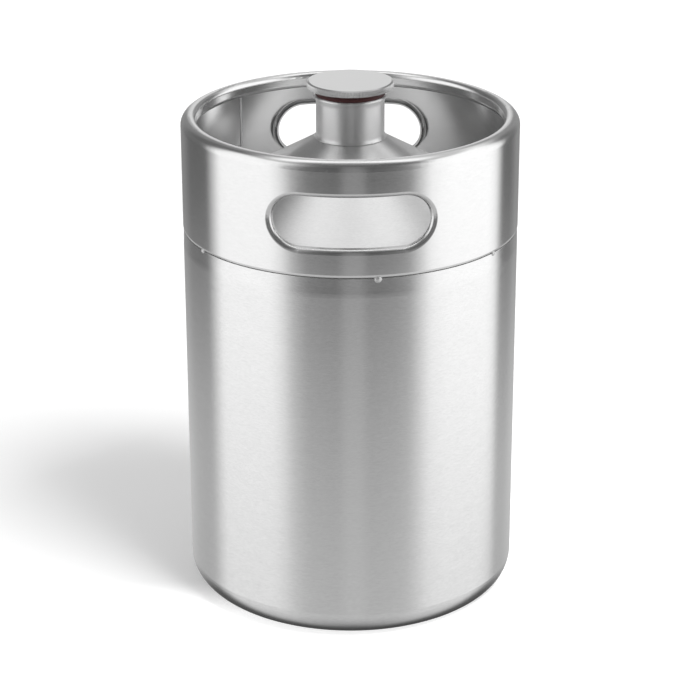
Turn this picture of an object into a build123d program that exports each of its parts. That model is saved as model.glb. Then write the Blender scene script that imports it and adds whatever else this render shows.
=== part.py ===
from build123d import *
import math
import os

# A single-walled 5 litre mini keg: a drawn body, a cone with a threaded neck, a handle collar and a screw cap.
# Lengths are in millimetres and angles in degrees. The keg stands on z = 0, its axis is Z, and -Y is its front.

# Sheet metal and the gaps that assembly needs
sheet = 0.8
lap_clearance = 0.15
weld_clearance = 0.03

# Body
body_radius = 86.0
body_height = 197.4
body_lean = 0.2
body_lean_height = 9.0
body_lean_bend = 100.0
corner_radius = 14.8
foot_land_width = 6.0
foot_lip_bend = 3.0
foot_lip_height = 9.0
body_edge_break = 0.25

# Base dish, set into the lip under the body
base_recess = 2.5
base_skirt_height = 5.0
base_bend = 3.0
base_rise = 5.0
base_crown_radius = 24.0
base_crown_bend = 120.0

# Shoulder
shoulder_lap = 8.0
shoulder_skirt_rise = 8.76
shoulder_bend = 5.0
cone_slope = 29.3

# Neck
neck_radius = 17.4
neck_height = 21.74
neck_foot_radius = 18.4
neck_foot_edge = 0.35
neck_foot_flare = 0.75
neck_foot_bend = 2.4
neck_seat_gap = 0.3
neck_weld_width = 0.9
neck_weld_set_back = 0.15
neck_spigot_length = 2.5
neck_bore_wall = 2.35
lip_radius = 18.5
lip_thickness = 0.9
lip_flare = 2.2
lip_cove = 4.5
lip_edge = 0.5

# Thread between the neck and the cap
thread_pitch = 3.0
thread_major_radius = 15.2
thread_depth = 1.0
thread_clearance = 0.3
thread_root_width = 1.5
thread_crest_width = 0.8
thread_start = 2.5
thread_run_out = 2.5
thread_embed = 0.3
thread_turn = 17.0
mouth_chamfer = 0.5

# Handle collar
seam_gap = 0.25
collar_proud = 0.1
collar_height = 58.45
collar_foot_turn = 0.25
collar_foot_rise = 1.2
collar_foot_bend = 2.5
collar_edge_break = 0.4
rim_outer_bend = 5.0
rim_inner_bend = 2.8
rim_curl_bend = 2.5
rim_width = 7.9
rim_drop = 8.1
rim_curl_gap = 0.8

# Hand slots
slot_width = 76.3
slot_height = 26.2
slot_centre_rise = 27.15
slot_bend = 2.4
slot_depth = 4.5

# Welds that show
collar_seam_angle = 42.8
collar_seam_width = 1.3
collar_seam_proud = 0.3
collar_seam_edge = 0.18
girth_weld_height = 0.2

# Tacks between the collar and the body, each with a twin straight behind it. Their angles are from the front.
# Each has half its width, its height off the wall and its drop below the groove.
left_tack_angle = -59.5
front_tack_angle = 8.6
right_tack_angle = 55.4
small_tack_half_width = 1.05
small_tack_height = 0.35
small_tack_drop = 0.25
large_tack_half_width = 1.5
large_tack_height = 0.5
large_tack_drop = 0.7

# Cap
head_radius = 22.0
head_under_radius = 18.0
head_taper_height = 2.0
knurl_height = 2.7
knurl_count = 96
knurl_depth = 0.35
knurl_flat_depth = 0.04
head_chamfer_width = 1.2
head_chamfer_height = 0.45
head_plate = 2.3
plug_length = 11.5
plug_wall = 2.1
plug_floor = 1.5
plug_foot_edge = 0.4
plug_spigot_height = 2.0
plug_spigot_step = 0.7
plug_fit_clearance = 0.05

# Seal
seal_thickness = 1.7
seal_outer_radius = 17.7
seal_width = 2.1
seal_face_gap = 0.1
seal_seat_clearance = 0.3
seal_edge = 0.4

# Heights and radii that follow from the sizes above
body_top_radius = body_radius - body_lean
skirt_radius = body_top_radius - sheet - lap_clearance
cone_tangent = math.tan(math.radians(cone_slope))
cone_foot = body_height + shoulder_skirt_rise
neck_root = cone_foot + (skirt_radius - neck_radius) * cone_tangent
lip_top = neck_root + neck_height
collar_radius = body_radius + collar_proud
collar_foot = body_height + seam_gap
rim_top = collar_foot + collar_height
slot_centre = collar_foot + slot_centre_rise
thread_minor_radius = thread_major_radius - thread_depth
plug_crest_radius = thread_major_radius - thread_clearance
plug_core_radius = thread_minor_radius - thread_clearance
spigot_radius = neck_radius - sheet - lap_clearance
cone_end_radius = spigot_radius + lap_clearance + sheet * math.sin(math.radians(cone_slope))
plug_foot = lip_top - plug_length
neck_thread_foot = plug_foot + thread_root_width
thread_length = plug_length - thread_root_width - thread_start
plug_thread_foot = neck_thread_foot + thread_pitch / 2
plug_thread_length = thread_length - thread_pitch / 2
head_under = lip_top + seal_face_gap + seal_thickness + seal_face_gap
knurl_foot = head_under + head_taper_height
knurl_top = knurl_foot + knurl_height
head_top = knurl_top + head_chamfer_height
rim_foot = rim_top - rim_drop
foot_lip_radius = body_radius - corner_radius - foot_land_width - foot_lip_bend

# Angle, half width, height and drop of each tack
small_tack = (small_tack_half_width, small_tack_height, small_tack_drop)
large_tack = (large_tack_half_width, large_tack_height, large_tack_drop)
collar_tacks = ((left_tack_angle, *small_tack), (front_tack_angle, *large_tack), (right_tack_angle, *small_tack))


def turned(corners):
    # Turns a closed section about Z. Each corner is its radius, its height and how far it is rounded.
    points = [(radius, 0, height) for radius, height, rounding in corners]
    roundings = [rounding for radius, height, rounding in corners]
    outline = FilletPolyline(*points, radius=roundings, close=True)
    return revolve(Face(Wire(outline.edges())), Axis.Z)


def shifted_corner(before, here, after, distance):
    # Moves one corner of a path to its left, so that both runs beside it move by the distance.
    first = math.atan2(here[1] - before[1], here[0] - before[0])
    second = math.atan2(after[1] - here[1], after[0] - here[0])
    middle = (first + second) / 2
    if abs(first - second) > math.pi:
        middle += math.pi
    reach = distance / math.cos(middle - first)
    return here[0] - reach * math.sin(middle), here[1] + reach * math.cos(middle)


def sheet_section(path):
    # Gives a bent sheet its thickness, to the left of the path along its outer face.
    left_side = []
    for index, (radius, height, bend) in enumerate(path):
        before = path[max(index - 1, 0)]
        after = path[min(index + 1, len(path) - 1)]
        if index == 0:
            before = (2 * radius - after[0], 2 * height - after[1])
        if index == len(path) - 1:
            after = (2 * radius - before[0], 2 * height - before[1])
        new_radius, new_height = shifted_corner(before, (radius, height), after, sheet)
        cross = (radius - before[0]) * (after[1] - height) - (height - before[1]) * (after[0] - radius)
        turn = (cross > 1e-9) - (cross < -1e-9)
        left_side.append((new_radius, new_height, bend - turn * sheet if bend else 0.0))
    return path + left_side[::-1]


def cone_height(radius):
    # The height of the outside of the cone at this radius.
    return neck_root + (neck_radius - radius) * cone_tangent


def soften_edge(solid, radius, height, rounding):
    # Rounds the one circular edge at this radius and height.
    edges = solid.edges().filter_by(GeomType.CIRCLE).filter_by(
        lambda edge: abs(edge.radius - radius) < 0.01 and abs(edge.center().Z - height) < 0.01
    )
    return fillet(edges, rounding)


def make_body_shell():
    # The path runs up the outside of the wall, from the lip under the body to the top edge, which leans in.
    path = [
        (foot_lip_radius, foot_lip_height, 0.0),
        (foot_lip_radius, 0.0, foot_lip_bend),
        (body_radius, 0.0, corner_radius),
        (body_radius, body_height - body_lean_height, body_lean_bend),
        (body_top_radius, body_height, 0.0),
    ]
    return soften_edge(turned(sheet_section(path)), body_top_radius, body_height, body_edge_break)


def make_base_dish():
    # The path runs up the skirt inside the lip of the body, then in over the crown.
    outside = foot_lip_radius - lap_clearance
    skirt_top = base_recess + base_skirt_height
    path = [
        (outside, base_recess, 0.0),
        (outside, skirt_top, base_bend),
        (base_crown_radius, skirt_top + base_rise, base_crown_bend),
        (0.0, skirt_top + base_rise, 0.0),
    ]
    return turned(sheet_section(path))


def make_base_weld():
    # A fillet bead in the corner between the skirt of the dish and the lip.
    outside = foot_lip_radius - weld_clearance
    inside = foot_lip_radius - lap_clearance - sheet
    return turned([
        (inside, base_recess, 0.0),
        (outside, base_recess, 0.0),
        (outside, base_recess - sheet, 0.0),
        (outside - lap_clearance, base_recess - sheet, 0.0),
    ])


def make_shoulder_cone():
    # The path runs up the outside: the skirt inside the body, then the cone to the hole for the neck.
    path = [
        (skirt_radius, body_height - shoulder_lap, 0.0),
        (skirt_radius, cone_foot, shoulder_bend),
        (cone_end_radius, cone_height(cone_end_radius), 0.0),
    ]
    return turned(sheet_section(path))


def make_girth_weld():
    # The bead on the top edge of the body wall, in the groove under the collar.
    inside = skirt_radius + weld_clearance
    outside = body_top_radius - sheet / 2
    return turned([
        (inside, body_height, 0.0),
        (outside, body_height, 0.0),
        (inside, body_height + girth_weld_height, 0.0),
    ])


def thread_ridge(root_radius, crest_radius, length, foot):
    # One helical ridge on a wall of root_radius. Its flanks run on into the wall, so that the two fuse.
    outward = 1 if crest_radius > root_radius else -1
    flank_slope = (thread_root_width - thread_crest_width) / 2 / thread_depth
    hidden_radius = root_radius - outward * thread_embed
    hidden_half_width = thread_root_width / 2 + flank_slope * thread_embed
    profile = Polyline(
        (hidden_radius, 0, -hidden_half_width),
        (crest_radius, 0, -thread_crest_width / 2),
        (crest_radius, 0, thread_crest_width / 2),
        (hidden_radius, 0, hidden_half_width),
        close=True,
    )
    helix = Helix(thread_pitch, length, root_radius)
    ridge = sweep(Face(Wire(profile.edges())), path=helix, is_frenet=True)
    return Pos(0, 0, foot) * Rot(0, 0, thread_turn) * ridge


def make_neck_tube():
    # Its flared foot sits on the cone, and its spigot stands in the hole of the cone.
    lip_foot = lip_top - lip_thickness
    bore_foot = plug_foot - thread_run_out
    spigot_foot = neck_root - neck_spigot_length
    foot_underside = cone_height(neck_foot_radius) + neck_seat_gap
    foot_top = foot_underside + neck_foot_edge
    neck = turned([
        (spigot_radius - neck_bore_wall, spigot_foot, 0.0),
        (spigot_radius, spigot_foot, 0.0),
        (spigot_radius, cone_height(spigot_radius) + neck_seat_gap, 0.0),
        (neck_foot_radius, foot_underside, 0.0),
        (neck_foot_radius, foot_top, 0.0),
        (neck_radius, foot_top + neck_foot_flare, neck_foot_bend),
        (neck_radius, lip_foot - lip_flare, lip_cove),
        (lip_radius, lip_foot, 0.0),
        (lip_radius, lip_top, lip_edge),
        (thread_major_radius + mouth_chamfer, lip_top, 0.0),
        (thread_major_radius, lip_top - mouth_chamfer, 0.0),
        (thread_major_radius, bore_foot, 0.0),
        (spigot_radius - neck_bore_wall, bore_foot, 0.0),
    ])
    return neck + thread_ridge(thread_major_radius, thread_minor_radius, thread_length, neck_thread_foot)


def make_neck_weld():
    # A thin ring of weld in the gap between the cone and the foot of the neck, set back from its edge.
    outside = neck_foot_radius - neck_weld_set_back
    inside = outside - neck_weld_width
    low = weld_clearance
    high = neck_seat_gap - weld_clearance
    return turned([
        (inside, cone_height(inside) + low, 0.0),
        (outside, cone_height(outside) + low, 0.0),
        (outside, cone_height(outside) + high, 0.0),
        (inside, cone_height(inside) + high, 0.0),
    ])


def on_slot_edge(edge, radius, half_width, half_height):
    # True for the edges where a slot of this size meets a cylinder of this radius.
    for place in (0.0, 0.5, 1.0):
        point = edge @ place
        if abs(math.hypot(point.X, point.Y) - radius) > 0.02:
            return False
        across = max(abs(point.X) - (half_width - half_height), 0.0)
        if abs(math.hypot(across, point.Z - slot_centre) - half_height) > 0.02:
            return False
    return True


def make_handle_collar():
    # The wall up to the rolled rim. Its foot turns in a little, and so do the edges of its two slots.
    foot_radius = collar_radius - collar_foot_turn
    wall = sheet_section([
        (foot_radius, collar_foot, 0.0),
        (collar_radius, collar_foot + collar_foot_rise, collar_foot_bend),
        (collar_radius, rim_foot, 0.0),
    ])
    collar = soften_edge(turned(wall), foot_radius, collar_foot, collar_edge_break)
    reach = 2 * collar_radius
    cutter = Pos(0, 0, slot_centre) * extrude(Plane.XZ * SlotOverall(slot_width, slot_height), reach / 2, both=True)
    sleeve = Pos(0, 0, slot_centre) * extrude(
        Plane.XZ * SlotOverall(slot_width + 2 * sheet, slot_height + 2 * sheet), reach / 2, both=True
    )
    band_height = slot_height + 4 * sheet
    band = Pos(0, 0, slot_centre) * (
        Cylinder(collar_radius - sheet / 2, band_height) - Cylinder(collar_radius - slot_depth, band_height)
    )
    collar = collar + (sleeve & band) - cutter
    inner_edges = collar.edges().filter_by(
        lambda edge: on_slot_edge(edge, collar_radius - sheet, slot_width / 2 + sheet, slot_height / 2 + sheet)
    )
    collar = fillet(inner_edges, slot_bend - sheet)
    outer_edges = collar.edges().filter_by(
        lambda edge: on_slot_edge(edge, collar_radius, slot_width / 2, slot_height / 2)
    )
    return fillet(outer_edges, slot_bend)


def make_rolled_rim():
    # The path carries the wall on up, over the rim and back towards the wall under it.
    bead_radius = collar_radius - rim_width
    curl_end = collar_radius - sheet - rim_curl_gap
    path = [
        (collar_radius, rim_foot, 0.0),
        (collar_radius, rim_top, rim_outer_bend),
        (bead_radius, rim_top, rim_inner_bend),
        (bead_radius, rim_foot, rim_curl_bend),
        (curl_end, rim_foot, 0.0),
    ]
    return turned(sheet_section(path))


def make_collar_seam_weld():
    # The upright bead on the inside of the collar, at the back left.
    foot = cone_foot
    top = rim_foot - rim_curl_gap
    outside = collar_radius - sheet - weld_clearance
    bead = Box(collar_seam_width, collar_seam_proud, top - foot)
    long_edges = bead.edges().filter_by(Axis.Z).sort_by(Axis.Y)[:2]
    bead = fillet(long_edges, collar_seam_edge)
    bead = Pos(0, outside - collar_seam_proud / 2, (top + foot) / 2) * bead
    return Rot(0, 0, collar_seam_angle) * bead


def make_tack(angle, half_width, height, drop):
    # A drop of weld across the groove: a flat cap of a sphere on the wall, and what runs into the groove.
    # Its angle is measured from the front, towards +X.
    ball_radius = (half_width ** 2 + height ** 2) / (2 * height)
    wall = collar_radius + weld_clearance
    seam = body_height + seam_gap / 2
    reach = 2 * ball_radius
    ball = Pos(0, -(wall + height - ball_radius), seam - drop) * Sphere(ball_radius)
    inside = turned([
        (0.0, seam - body_lean_height - reach, 0.0),
        (body_radius + weld_clearance, seam - body_lean_height - reach, 0.0),
        (body_radius + weld_clearance, body_height - body_lean_height, 0.0),
        (body_top_radius + weld_clearance, body_height, 0.0),
        (collar_radius - collar_foot_turn + weld_clearance, collar_foot, 0.0),
        (wall, collar_foot + collar_foot_rise, 0.0),
        (wall, seam + body_lean_height + reach, 0.0),
        (0.0, seam + body_lean_height + reach, 0.0),
    ])
    groove_height = seam_gap - 2 * weld_clearance
    groove = Cylinder(wall + height, groove_height) - Cylinder(body_top_radius - sheet / 2, groove_height)
    return Rot(0, 0, angle) * ((ball - inside) + (ball & (Pos(0, 0, seam) * groove)))


def make_collar_tack_welds():
    tacks = []
    for angle, half_width, height, drop in collar_tacks:
        for side in (0, 180):
            tacks.extend(make_tack(angle + side, half_width, height, drop).solids())
    return Compound(tacks)


def knurled_bar(height):
    # A prism whose outline is a ring of small V teeth, a little over size, so that the head gives them flat tips.
    points = []
    for tooth in range(knurl_count):
        for share, radius in ((0.0, head_radius + knurl_flat_depth), (0.5, head_radius - knurl_depth)):
            turn = 2 * math.pi * (tooth + share) / knurl_count
            points.append((radius * math.cos(turn), radius * math.sin(turn)))
    return extrude(make_face(Polyline(*points, close=True)), height)


def make_cap_head():
    well_radius = plug_core_radius - plug_spigot_step + plug_fit_clearance
    well_top = head_top - head_plate
    head = turned([
        (0.0, head_top, 0.0),
        (head_radius - head_chamfer_width, head_top, 0.0),
        (head_radius, knurl_top, 0.0),
        (head_radius, knurl_foot, 0.0),
        (head_under_radius, head_under, 0.0),
        (well_radius, head_under, 0.0),
        (well_radius, well_top, 0.0),
        (0.0, well_top, 0.0),
    ])
    return head & (Pos(0, 0, head_under) * knurled_bar(head_top - head_under))


def make_cap_plug():
    # A threaded cup. Its spigot stands in the well of the head, and its flange carries the seal.
    stem_radius = plug_core_radius - plug_spigot_step
    inside = plug_core_radius - plug_wall
    flange_radius = seal_outer_radius - seal_width - seal_seat_clearance
    plug = turned([
        (0.0, plug_foot, 0.0),
        (plug_core_radius, plug_foot, plug_foot_edge),
        (plug_core_radius, lip_top + seal_seat_clearance, 0.0),
        (flange_radius, lip_top + seal_seat_clearance, 0.0),
        (flange_radius, head_under, 0.0),
        (stem_radius, head_under, 0.0),
        (stem_radius, head_under + plug_spigot_height, 0.0),
        (inside, head_under + plug_spigot_height, 0.0),
        (inside, plug_foot + plug_floor, 0.0),
        (0.0, plug_foot + plug_floor, 0.0),
    ])
    return plug + thread_ridge(plug_core_radius, plug_crest_radius, plug_thread_length, plug_thread_foot)


def make_cap_seal():
    foot = lip_top + seal_face_gap
    inside = seal_outer_radius - seal_width
    return turned([
        (inside, foot, 0.0),
        (seal_outer_radius, foot, seal_edge),
        (seal_outer_radius, foot + seal_thickness, seal_edge),
        (inside, foot + seal_thickness, 0.0),
    ])


os.makedirs("parts", exist_ok=True)
export_step(make_body_shell(), "parts/body_shell.step")
export_step(make_base_dish(), "parts/base_dish.step")
export_step(make_base_weld(), "parts/base_weld.step")
export_step(make_shoulder_cone(), "parts/shoulder_cone.step")
export_step(make_girth_weld(), "parts/girth_weld.step")
export_step(make_neck_tube(), "parts/neck_tube.step")
export_step(make_neck_weld(), "parts/neck_weld.step")
export_step(make_handle_collar(), "parts/handle_collar.step")
export_step(make_rolled_rim(), "parts/rolled_rim.step")
export_step(make_collar_seam_weld(), "parts/collar_seam_weld.step")
export_step(make_collar_tack_welds(), "parts/collar_tack_welds.step")
export_step(make_cap_head(), "parts/cap_head.step")
export_step(make_cap_plug(), "parts/cap_plug.step")
export_step(make_cap_seal(), "parts/cap_seal.step")
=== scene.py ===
import math
import bpy
from mathutils import Matrix, Vector

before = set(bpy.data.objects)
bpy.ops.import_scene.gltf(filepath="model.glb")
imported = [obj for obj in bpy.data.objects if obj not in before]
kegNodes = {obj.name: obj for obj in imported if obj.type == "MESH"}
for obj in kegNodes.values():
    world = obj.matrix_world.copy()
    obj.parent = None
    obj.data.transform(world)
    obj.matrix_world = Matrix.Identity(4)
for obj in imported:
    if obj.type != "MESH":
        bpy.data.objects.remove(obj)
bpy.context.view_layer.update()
print("frame loaded:", len(kegNodes), "nodes")


class Wire:
    # A node's output inside one finish. Plain sums on it add the Math nodes that they stand for.
    def __init__(self, finish, socket):
        self.finish, self.socket = finish, socket

    def maths(self, operation, a, b):
        return self.finish.add("ShaderNodeMath", {"operation": operation}, {0: a, 1: b})

    def __add__(self, other): return self.maths("ADD", self, other)
    def __radd__(self, other): return self.maths("ADD", other, self)
    def __sub__(self, other): return self.maths("SUBTRACT", self, other)
    def __rsub__(self, other): return self.maths("SUBTRACT", other, self)
    def __mul__(self, other): return self.maths("MULTIPLY", self, other)
    def __rmul__(self, other): return self.maths("MULTIPLY", other, self)
    def __truediv__(self, other): return self.maths("DIVIDE", self, other)
    def __rtruediv__(self, other): return self.maths("DIVIDE", other, self)


class Finish:
    # A material or the world, with one way to add any node to it.
    def __init__(self, owner, ending="ShaderNodeOutputMaterial"):
        owner.use_nodes = True
        self.owner, self.tree = owner, owner.node_tree
        self.tree.nodes.clear()
        self.ending = self.tree.nodes.new(ending)

    def add(self, kind, settings=None, sockets=None, output=0):
        node = self.tree.nodes.new(kind)
        for name, value in (settings or {}).items():
            if name == "stops":
                self.setStops(node.color_ramp, value)
            else:
                setattr(node, name, value)
        for name, value in (sockets or {}).items():
            if isinstance(value, Wire):
                self.tree.links.new(value.socket, node.inputs[name])
            else:
                node.inputs[name].default_value = value
        return Wire(self, node.outputs[output])

    def setStops(self, ramp, stops):
        while len(ramp.elements) > 1:
            ramp.elements.remove(ramp.elements[-1])
        for index, (place, shade) in enumerate(stops):
            element = ramp.elements[0] if index == 0 else ramp.elements.new(place)
            element.position = place
            element.color = grey(shade)

    def vector(self, operation, a, b=(0.0, 0.0, 0.0)):
        return self.add("ShaderNodeVectorMath", {"operation": operation}, {0: a, 1: b})

    def blend(self, share, a, b):
        # colours: a where share is 0 and b where it is 1
        return self.add("ShaderNodeMix", {"data_type": "RGBA"}, {0: share, 6: a, 7: b}, output=2)

    def split(self, vector):
        parts = self.add("ShaderNodeSeparateXYZ", {}, {0: vector}).socket.node
        return [Wire(self, out) for out in parts.outputs]

    def close(self, wire):
        self.tree.links.new(wire.socket, self.ending.inputs["Surface"])


def grey(level):
    return (level, level, level, 1.0)


def fade(finish, value, start, end):
    # 0 up to the start, 1 from the end on, and smooth between
    return finish.add("ShaderNodeMapRange", {"interpolation_type": "SMOOTHSTEP"},
                      {"Value": value, "From Min": start, "From Max": end, "To Min": 0.0, "To Max": 1.0})


def roundTheAxis(finish):
    # Where a point is round the keg's axis: (cos, sin, 0), its distance from the axis, and its height.
    where = finish.add("ShaderNodeTexCoord", output="Object")
    flat = finish.vector("MULTIPLY", where, (1.0, 1.0, 0.0))
    reach = finish.add("ShaderNodeVectorMath", {"operation": "LENGTH"}, {0: flat}, output="Value")
    height = finish.split(where)[2]
    return finish.vector("NORMALIZE", flat), reach, height


print("helpers ready")

brushing = {
    "detail": 2.0, "harshness": 0.6,
    "wideTurns": 0.25, "wideFine": 0.2, "wideShare": 0.3,  # broad marks among the fine ones
    "glossTurn": 0.25,  # a quarter turn, so that the gloss is drawn out across the marks
}
sheetSteel = {
    **brushing, "turns": 38.0, "fine": 1500.0, "bump": 0.06, "depth": 0.00003,
    "stretch": 0.35, "roughnessSwing": 0.06,
    "insideDull": 0.06, "insideFrom": 0.0856, "insideTo": 0.0858,  # less polished within the outer wall
}
turnedSteel = {
    **brushing, "turns": 8.0, "fine": 4200.0, "bump": 0.06, "depth": 0.00002,
    "stretch": 0.3, "roughnessSwing": 0.05,
}
steelPieces = {
    "body_shell": {**sheetSteel, "roughness": 0.18, "shade": 0.78, "shadeSwing": 0.11},
    "handle_collar": {**sheetSteel, "roughness": 0.16, "shade": 0.78, "shadeSwing": 0.07},
    "rolled_rim": {**sheetSteel, "roughness": 0.16, "shade": 0.78, "shadeSwing": 0.07},
    "shoulder_cone": {**sheetSteel, "roughness": 0.24, "shade": 0.73, "shadeSwing": 0.12},
    "base_dish": {**sheetSteel, "roughness": 0.30, "shade": 0.76, "shadeSwing": 0.12},
    "cap_head": {**turnedSteel, "roughness": 0.13, "shade": 0.74, "shadeSwing": 0.06},
    "cap_plug": {**turnedSteel, "roughness": 0.22, "shade": 0.76, "shadeSwing": 0.06},
    # the neck's long gloss draws what it mirrors into upright bands
    "neck_tube": {**turnedSteel, "stretch": 0.95, "roughness": 0.42, "shade": 0.94, "shadeSwing": 0.05},
}


def brushMarks(finish, place, look, turns, fine):
    # Streaks that run round the axis: long round it, and fine up the wall and across a flat top.
    heading, reach, height = place
    around = finish.add("ShaderNodeVectorMath", {"operation": "SCALE"}, {0: heading, "Scale": turns})
    rise = finish.add("ShaderNodeCombineXYZ", {}, {"Z": height * fine})
    return finish.add("ShaderNodeTexNoise", {"noise_dimensions": "4D"}, {
        "Vector": finish.vector("ADD", around, rise), "W": reach * fine,
        "Scale": 1.0, "Detail": look["detail"], "Roughness": look["harshness"]})


def makeBrushedSteel(name, look):
    finish = Finish(bpy.data.materials.new(name))
    place = roundTheAxis(finish)
    fineMarks = brushMarks(finish, place, look, look["turns"], look["fine"])
    wideMarks = brushMarks(finish, place, look, look["turns"] * look["wideTurns"], look["fine"] * look["wideFine"])
    marks = fineMarks * (1.0 - look["wideShare"]) + wideMarks * look["wideShare"]
    tone = finish.blend(marks, grey(look["shade"] - look["shadeSwing"]), grey(look["shade"] + look["shadeSwing"]))
    rough = look["roughness"] + (marks - 0.5) * look["roughnessSwing"]
    if "insideDull" in look:
        outside = fade(finish, place[1], look["insideFrom"], look["insideTo"])
        rough = rough + (1.0 - outside) * look["insideDull"]
    relief = finish.add("ShaderNodeBump", {}, {
        "Strength": look["bump"], "Distance": look["depth"], "Height": marks})
    finish.close(finish.add("ShaderNodeBsdfPrincipled", {}, {
        "Base Color": tone, "Metallic": 1.0, "Roughness": rough, "Normal": relief,
        "Anisotropic": look["stretch"], "Anisotropic Rotation": look["glossTurn"]}))
    return finish.owner


weldLook = {
    "dark": grey(0.62), "light": grey(0.90), "metallic": 1.0, "roughness": 0.58, "roughnessSwing": 0.15,
    "grain": 1100.0, "detail": 3.0, "bump": 0.7, "depth": 0.0002,
}
brightWeldLook = {**weldLook, "dark": grey(0.87), "light": grey(0.97), "roughness": 0.66}  # in the groove
sealLook = {
    "dark": (0.050, 0.010, 0.011, 1.0), "light": (0.095, 0.020, 0.021, 1.0), "metallic": 0.0,
    "roughness": 0.5, "roughnessSwing": 0.2, "grain": 1400.0, "detail": 4.0, "bump": 0.25, "depth": 0.0001,
}


def makeSpeckledFinish(name, look):
    finish = Finish(bpy.data.materials.new(name))
    where = finish.add("ShaderNodeTexCoord", output="Object")
    speckle = finish.add("ShaderNodeTexNoise", {}, {
        "Vector": where, "Scale": look["grain"], "Detail": look["detail"]})
    relief = finish.add("ShaderNodeBump", {}, {
        "Strength": look["bump"], "Distance": look["depth"], "Height": speckle})
    finish.close(finish.add("ShaderNodeBsdfPrincipled", {}, {
        "Base Color": finish.blend(speckle, look["dark"], look["light"]), "Metallic": look["metallic"],
        "Roughness": look["roughness"] + (speckle - 0.5) * look["roughnessSwing"], "Normal": relief}))
    return finish.owner


def steelName(piece):
    first, *rest = piece.split("_")
    return first + "".join(word.title() for word in rest) + "Steel"


finishes = {
    "weld_metal": makeSpeckledFinish("weldMetal", weldLook),
    "girth_weld": makeSpeckledFinish("brightWeldMetal", brightWeldLook),
    "seal_rubber": makeSpeckledFinish("sealRubber", sealLook),
}
for piece, look in steelPieces.items():
    finishes[piece] = makeBrushedSteel(steelName(piece), look)
for piece, node in kegNodes.items():
    for slot in node.material_slots:
        slot.material = finishes.get(piece) or finishes[slot.material.name]  # its own, or its slot's
print("finishes set on", len(kegNodes), "nodes")

floorLook = {
    "reach": 12.0, "paper": 0.80,
    "glow": 0.12, "farGlow": 0.66, "fadeFrom": 0.45, "fadeTo": 1.4,  # near the keg, and far from it; the rise of glow far off is painted light, keeping the paper white where the lamp falls off
    "frontGlow": 0.5, "frontFrom": 0.015, "frontTo": 0.06,  # in front of it: painted light on the paper, which washes out the keg's shadow in front of its foot
}


def rayIsSeen(finish):
    # 1 for what the camera sees, straight or in metal, and 0 for what only lights things
    camera, glossy, through = (
        finish.add("ShaderNodeLightPath", output=name + " Ray")
        for name in ("Is Camera", "Is Glossy", "Is Transmission"))
    return finish.add("ShaderNodeMath", {"operation": "ADD", "use_clamp": True}, {0: camera + glossy, 1: through})


def makeFloor(look):
    mesh = bpy.data.meshes.new("paperFloor")
    half = look["reach"] / 2
    corners = [(-half, -half, 0), (half, -half, 0), (half, half, 0), (-half, half, 0)]
    mesh.from_pydata(corners, [], [(0, 1, 2, 3)])
    floor = bpy.data.objects.new("paperFloor", mesh)
    bpy.context.scene.collection.objects.link(floor)
    floor.visible_glossy = False  # metal sees the studio's cards there instead
    finish = Finish(bpy.data.materials.new("whitePaper"))
    paper = finish.add("ShaderNodeBsdfDiffuse", {}, {"Color": grey(look["paper"])})
    _, away, _ = roundTheAxis(finish)
    depth = finish.split(finish.add("ShaderNodeTexCoord", output="Object"))[1]
    # painted light: the paper in front of the keg glows more, clearing the lamp's shadow under the foot's overhang
    frontPaintedLight = fade(finish, 0.0 - depth, look["frontFrom"], look["frontTo"]) * look["frontGlow"]
    # painted light: the glow grows with distance from the keg, standing in for lamp light that falls off far away
    farPaintedLight = fade(finish, away, look["fadeFrom"], look["fadeTo"]) * (look["farGlow"] - look["glow"])
    glow = finish.add("ShaderNodeEmission", {}, {
        "Color": grey(1.0), "Strength": rayIsSeen(finish) * (farPaintedLight + frontPaintedLight + look["glow"])})
    finish.close(finish.add("ShaderNodeAddShader", {}, {0: paper, 1: glow}))
    mesh.materials.append(finish.owner)
    return floor


makeFloor(floorLook)
print("paper floor laid")

# What the metal sees: dark and white cards, by the direction from the keg. "round" gives the white cards'
# share at degrees round it, 0 towards the camera and positive to the right. The cards' own levels go by
# degrees up from the floor.
studioLook = {
    "round": [
        (-180, 0.60), (-173, 0.56), (-166, 0.14), (-154, 0.14), (-139, 0.05), (-114, 0.03), (-106, 0.46),
        (-99, 0.90), (-80, 0.92), (-56, 0.92), (-48, 0.72), (-40, 0.30), (-30, 0.06), (-9, 0.0), (-3, 0.12),
        (7, 0.12), (12, 0.01), (30, 0.06), (40, 0.15), (48, 0.50), (56, 0.90), (70, 1.0), (108, 1.0),
        (116, 0.84), (125, 0.05), (138, 0.06), (153, 0.18), (166, 0.16), (173, 0.56), (180, 0.60)],
    "darkCards": [
        (-90, 0.16), (-76, 0.34), (-62, 0.48), (-45, 0.57), (-28, 0.60), (-24, 0.53), (-21, 0.32),
        (-18, 0.08), (0, 0.12), (25, 0.08), (60, 0.12), (90, 0.40)],
    "whiteCards": [
        (-90, 0.16), (-76, 0.38), (-60, 0.60), (-45, 0.74), (-29, 0.84), (-26, 0.98), (-22, 1.20),
        (-17, 1.30), (44, 1.30), (50, 0.62), (58, 0.62), (65, 1.30), (90, 1.38)],
    # overhead, a dark strip runs towards the camera between two white cards
    "topStrip": (0.08, 0.30), "topLean": 1.3, "topTilt": 0.4, "topFrom": 40.0, "topFull": 60.0,
    # low down at the back it is dark
    "footShade": 0.86, "footDown": (0.38, 0.66), "footBack": (0.38, 0.78), "footLean": 0.5,
    "brightest": 1.4,  # ramps hold 0 to 1, so they hold shares of this
    "ambient": 0.69,  # how strongly the world lights what it isn't seen in
}


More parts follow.
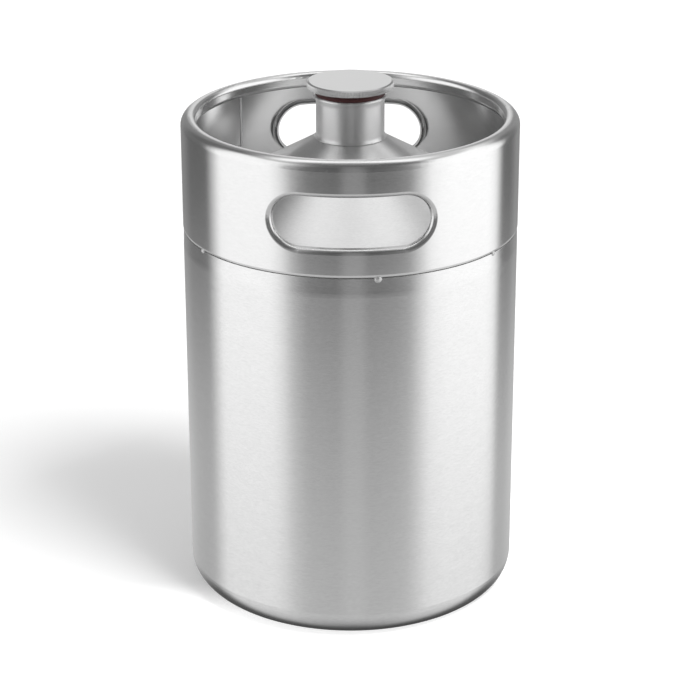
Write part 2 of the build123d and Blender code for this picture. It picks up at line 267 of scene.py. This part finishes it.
def makeStudio(look):
    world = bpy.data.worlds.new("studioWhite")
    bpy.context.scene.world = world
    finish = Finish(world, "ShaderNodeOutputWorld")
    right, back, up = finish.split(finish.add("ShaderNodeTexCoord", output="Generated"))
    turn = finish.add("ShaderNodeMath", {"operation": "ARCTAN2"}, {0: right, 1: 0.0 - back})
    rise = finish.add("ShaderNodeMath", {"operation": "ARCSINE"}, {0: up})
    stops = [(0.5 + angle / 360.0, level) for angle, level in look["round"]]
    share = finish.add("ShaderNodeValToRGB", {"stops": stops}, {"Fac": turn / (2 * math.pi) + 0.5})
    height = rise / math.pi + 0.5
    cards = {}
    for name in ("darkCards", "whiteCards"):
        stops = [(0.5 + angle / 180.0, level / look["brightest"]) for angle, level in look[name]]
        cards[name] = finish.add("ShaderNodeValToRGB", {"stops": stops}, {"Fac": height})
    aside = finish.add("ShaderNodeMath", {"operation": "ABSOLUTE"}, {0: right})
    openTop = fade(finish, aside + back * look["topLean"], *look["topStrip"])
    overhead = fade(finish, rise + right * look["topTilt"],
                    math.radians(look["topFrom"]), math.radians(look["topFull"]))
    share = finish.blend(overhead, share, openTop)
    lowDown = fade(finish, 0.0 - up, *look["footDown"])
    atTheBack = fade(finish, back - up * look["footLean"], *look["footBack"])
    tone = finish.blend(share, cards["darkCards"], cards["whiteCards"])
    tone = finish.blend(lowDown * atTheBack * look["footShade"], tone, grey(0.0))
    glossy = finish.add("ShaderNodeLightPath", output="Is Glossy Ray")
    tone = finish.blend(glossy, grey(1.0 / look["brightest"]), tone)
    level = look["ambient"] + rayIsSeen(finish) * (1.0 - look["ambient"])
    finish.close(finish.add("ShaderNodeBackground", {}, {"Color": tone, "Strength": level * look["brightest"]}))


makeStudio(studioLook)

keyLamp = {"place": (0.57, -0.54, 1.27), "size": 0.66, "power": 26.5}


def makeLamp(name, look):
    lamp = bpy.data.lights.new(name, "AREA")
    lamp.shape, lamp.size, lamp.energy = "SQUARE", look["size"], look["power"]
    holder = bpy.data.objects.new(name, lamp)
    bpy.context.scene.collection.objects.link(holder)
    holder.location = look["place"]
    holder.rotation_euler = (-holder.location).to_track_quat("-Z", "Y").to_euler()
    holder.visible_camera = False
    holder.visible_glossy = False


makeLamp("keySoftbox", keyLamp)
print("studio ready")

cameraLook = {
    "place": (-0.00031, -1.18383, 0.59733), "tilt": 68.307, "roll": -0.0015, "turn": -0.35,  # roll in radians
    "lens": 124.45, "film": 36.0, "nearest": 0.05,
}


def makeCamera(look):
    data = bpy.data.cameras.new("studioCamera")
    data.lens, data.sensor_width, data.clip_start = look["lens"], look["film"], look["nearest"]
    camera = bpy.data.objects.new("studioCamera", data)
    bpy.context.scene.collection.objects.link(camera)
    # it stands a little off the keg's front, turned about the keg's own axis
    swing = Matrix.Rotation(math.radians(look["turn"]), 3, "Z")
    aim = Matrix.Rotation(math.radians(look["tilt"]), 3, "X") @ Matrix.Rotation(look["roll"], 3, "Z")
    camera.location = swing @ Vector(look["place"])
    camera.rotation_euler = (swing @ aim).to_euler()
    bpy.context.scene.camera = camera


makeCamera(cameraLook)
bpy.context.scene.view_settings.view_transform = "Standard"

print("scene ready")
